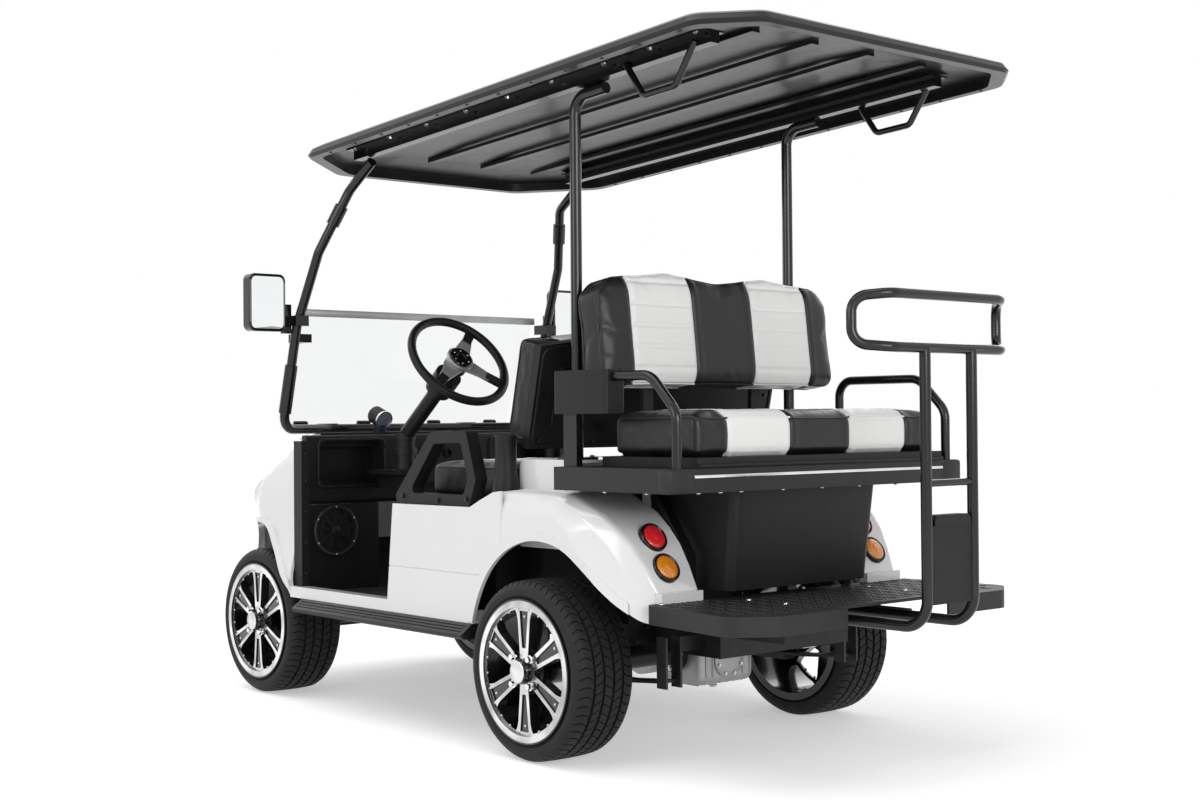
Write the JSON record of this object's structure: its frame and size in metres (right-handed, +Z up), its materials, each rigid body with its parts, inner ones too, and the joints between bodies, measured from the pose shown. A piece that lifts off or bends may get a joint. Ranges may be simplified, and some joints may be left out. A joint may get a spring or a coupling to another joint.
{
  "type": "golf cart",
  "caption": "Electric golf cart with a front bench, a rear-facing second bench, a footrest deck, a grab handle, a half windscreen and a full roof.",
  "frame": {"origin": "on the ground under the middle of the cart's length and width", "axes": "+X towards the driver's side (left when seated), +Y towards the rear, +Z up"},
  "size_m": [1.398, 2.842, 1.9035],
  "materials": {
    "white_body": "gloss white",
    "chassis_black": "satin black",
    "black_tube": "gloss black",
    "black_plastic": "fine grain",
    "black_gloss": "polished",
    "black_vinyl": "grained vinyl with white panels",
    "tyre_rubber": "road tread",
    "wheel_alloy": "machined faces over black",
    "cast_alloy": "as cast",
    "clear_pane": "clear",
    "lamp_glass": "clear",
    "red_lens": "moulded lens",
    "amber_lens": "moulded lens",
    "battery_case": "plain"
  },
  "bodies": {
    "cart": {"chassis_frame": "chassis_black", "cross_members": "chassis_black", "outriggers": "chassis_black", "front_springs": "chassis_black", "rear_springs": "chassis_black", "rear_axle": "chassis_black", "drive_unit": "cast_alloy", "front_axle": "chassis_black", "floor_pan": "black_plastic", "kick_panels": "black_plastic", "front_cowl": "white_body", "headlamps": "lamp_glass", "front_bumper": "black_plastic", "body_side_left": "white_body", "body_side_right": "white_body", "tail_lamps_red": "red_lens", "tail_lamps_amber": "amber_lens", "side_step_left": "black_plastic", "side_step_right": "black_plastic", "seat_base": "black_plastic", "battery_pack": "battery_case", "rear_hump": "white_body", "dashboard": "black_plastic", "steering_column": "black_plastic", "windscreen_frame": "black_tube", "windscreen_pane": "clear_pane", "roof_shell": "black_plastic", "roof_rails": "chassis_black", "roof_handles": "black_tube", "rear_struts": "black_tube", "mirror_left": "black_plastic", "mirror_right": "black_plastic", "front_backrest": "black_vinyl", "front_backrest_shell": "black_plastic", "backrest_frame": "chassis_black", "hip_restraints": "black_plastic", "rear_seat_frame": "chassis_black", "rear_backrest": "black_vinyl", "rear_armrests": "black_tube", "arm_box": "black_plastic", "storage_box": "black_plastic", "footrest_deck": "black_plastic", "footrest_struts": "chassis_black", "grab_handle": "black_tube", "handle_panel": "black_plastic"},
    "steering_wheel": {"steering_wheel": "black_gloss"},
    "knuckle_left": {"knuckle_left": "chassis_black"},
    "knuckle_right": {"knuckle_right": "chassis_black"},
    "tie_rod": {"tie_rod": "chassis_black"},
    "rear_seat": {"rear_seat_board": "chassis_black", "rear_cushion": "black_vinyl"},
    "front_seat": {"front_cushion": "black_vinyl"},
    "wheel_front_left": {"tyre_front_left": "tyre_rubber", "rim_front_left": "wheel_alloy"},
    "wheel_front_right": {"tyre_front_right": "tyre_rubber", "rim_front_right": "wheel_alloy"},
    "wheel_rear_left": {"tyre_rear_left": "tyre_rubber", "rim_rear_left": "wheel_alloy"},
    "wheel_rear_right": {"tyre_rear_right": "tyre_rubber", "rim_rear_right": "wheel_alloy"}
  },
  "joints": [
    {"name": "steering", "type": "hinge", "parent": "cart", "child": "steering_wheel", "pos_m": [0.24, -0.331, 1.102], "axis": [0, 0.788, 0.6157], "range_deg": [-270, 270]},
    {"name": "steer_left", "type": "hinge", "parent": "cart", "child": "knuckle_left", "pos_m": [0.385, -1.064, 0.243], "axis": [0, 0, 1], "range_deg": [-25, 25]},
    {"name": "steer_right", "type": "hinge", "parent": "cart", "child": "knuckle_right", "pos_m": [-0.385, -1.064, 0.243], "axis": [0, 0, 1], "range_deg": [-25, 25]},
    {"name": "tie_rod_slide", "type": "slide", "parent": "cart", "child": "tie_rod", "axis": [1, 0, 0], "range_m": [-0.0424, 0.0424]},
    {"name": "front_left_roll", "type": "hinge", "parent": "knuckle_left", "child": "wheel_front_left", "pos_m": [0.464, -1.064, 0.243], "axis": [1, 0, 0], "continuous": true},
    {"name": "front_right_roll", "type": "hinge", "parent": "knuckle_right", "child": "wheel_front_right", "pos_m": [-0.464, -1.064, 0.243], "axis": [1, 0, 0], "continuous": true},
    {"name": "rear_left_roll", "type": "hinge", "parent": "cart", "child": "wheel_rear_left", "pos_m": [0.516, 0.466, 0.243], "axis": [1, 0, 0], "continuous": true},
    {"name": "rear_right_roll", "type": "hinge", "parent": "cart", "child": "wheel_rear_right", "pos_m": [-0.516, 0.466, 0.243], "axis": [1, 0, 0], "continuous": true},
    {"name": "rear_seat_flip", "type": "hinge", "parent": "cart", "child": "rear_seat", "pos_m": [0, 1.011, 0.795], "axis": [-1, 0, 0], "range_deg": [0, 178]},
    {"name": "front_seat_lift", "type": "hinge", "parent": "cart", "child": "front_seat", "pos_m": [0, -0.1845, 0.693], "axis": [1, 0, 0], "range_deg": [0, 60]}
  ],
  "couplings": [
    {"joint": "steer_left", "follows": "steering", "ratio": 0.0925},
    {"joint": "steer_right", "follows": "steering", "ratio": 0.0925},
    {"joint": "tie_rod_slide", "follows": "steering", "m_per_rad": -0.00897}
  ]
}
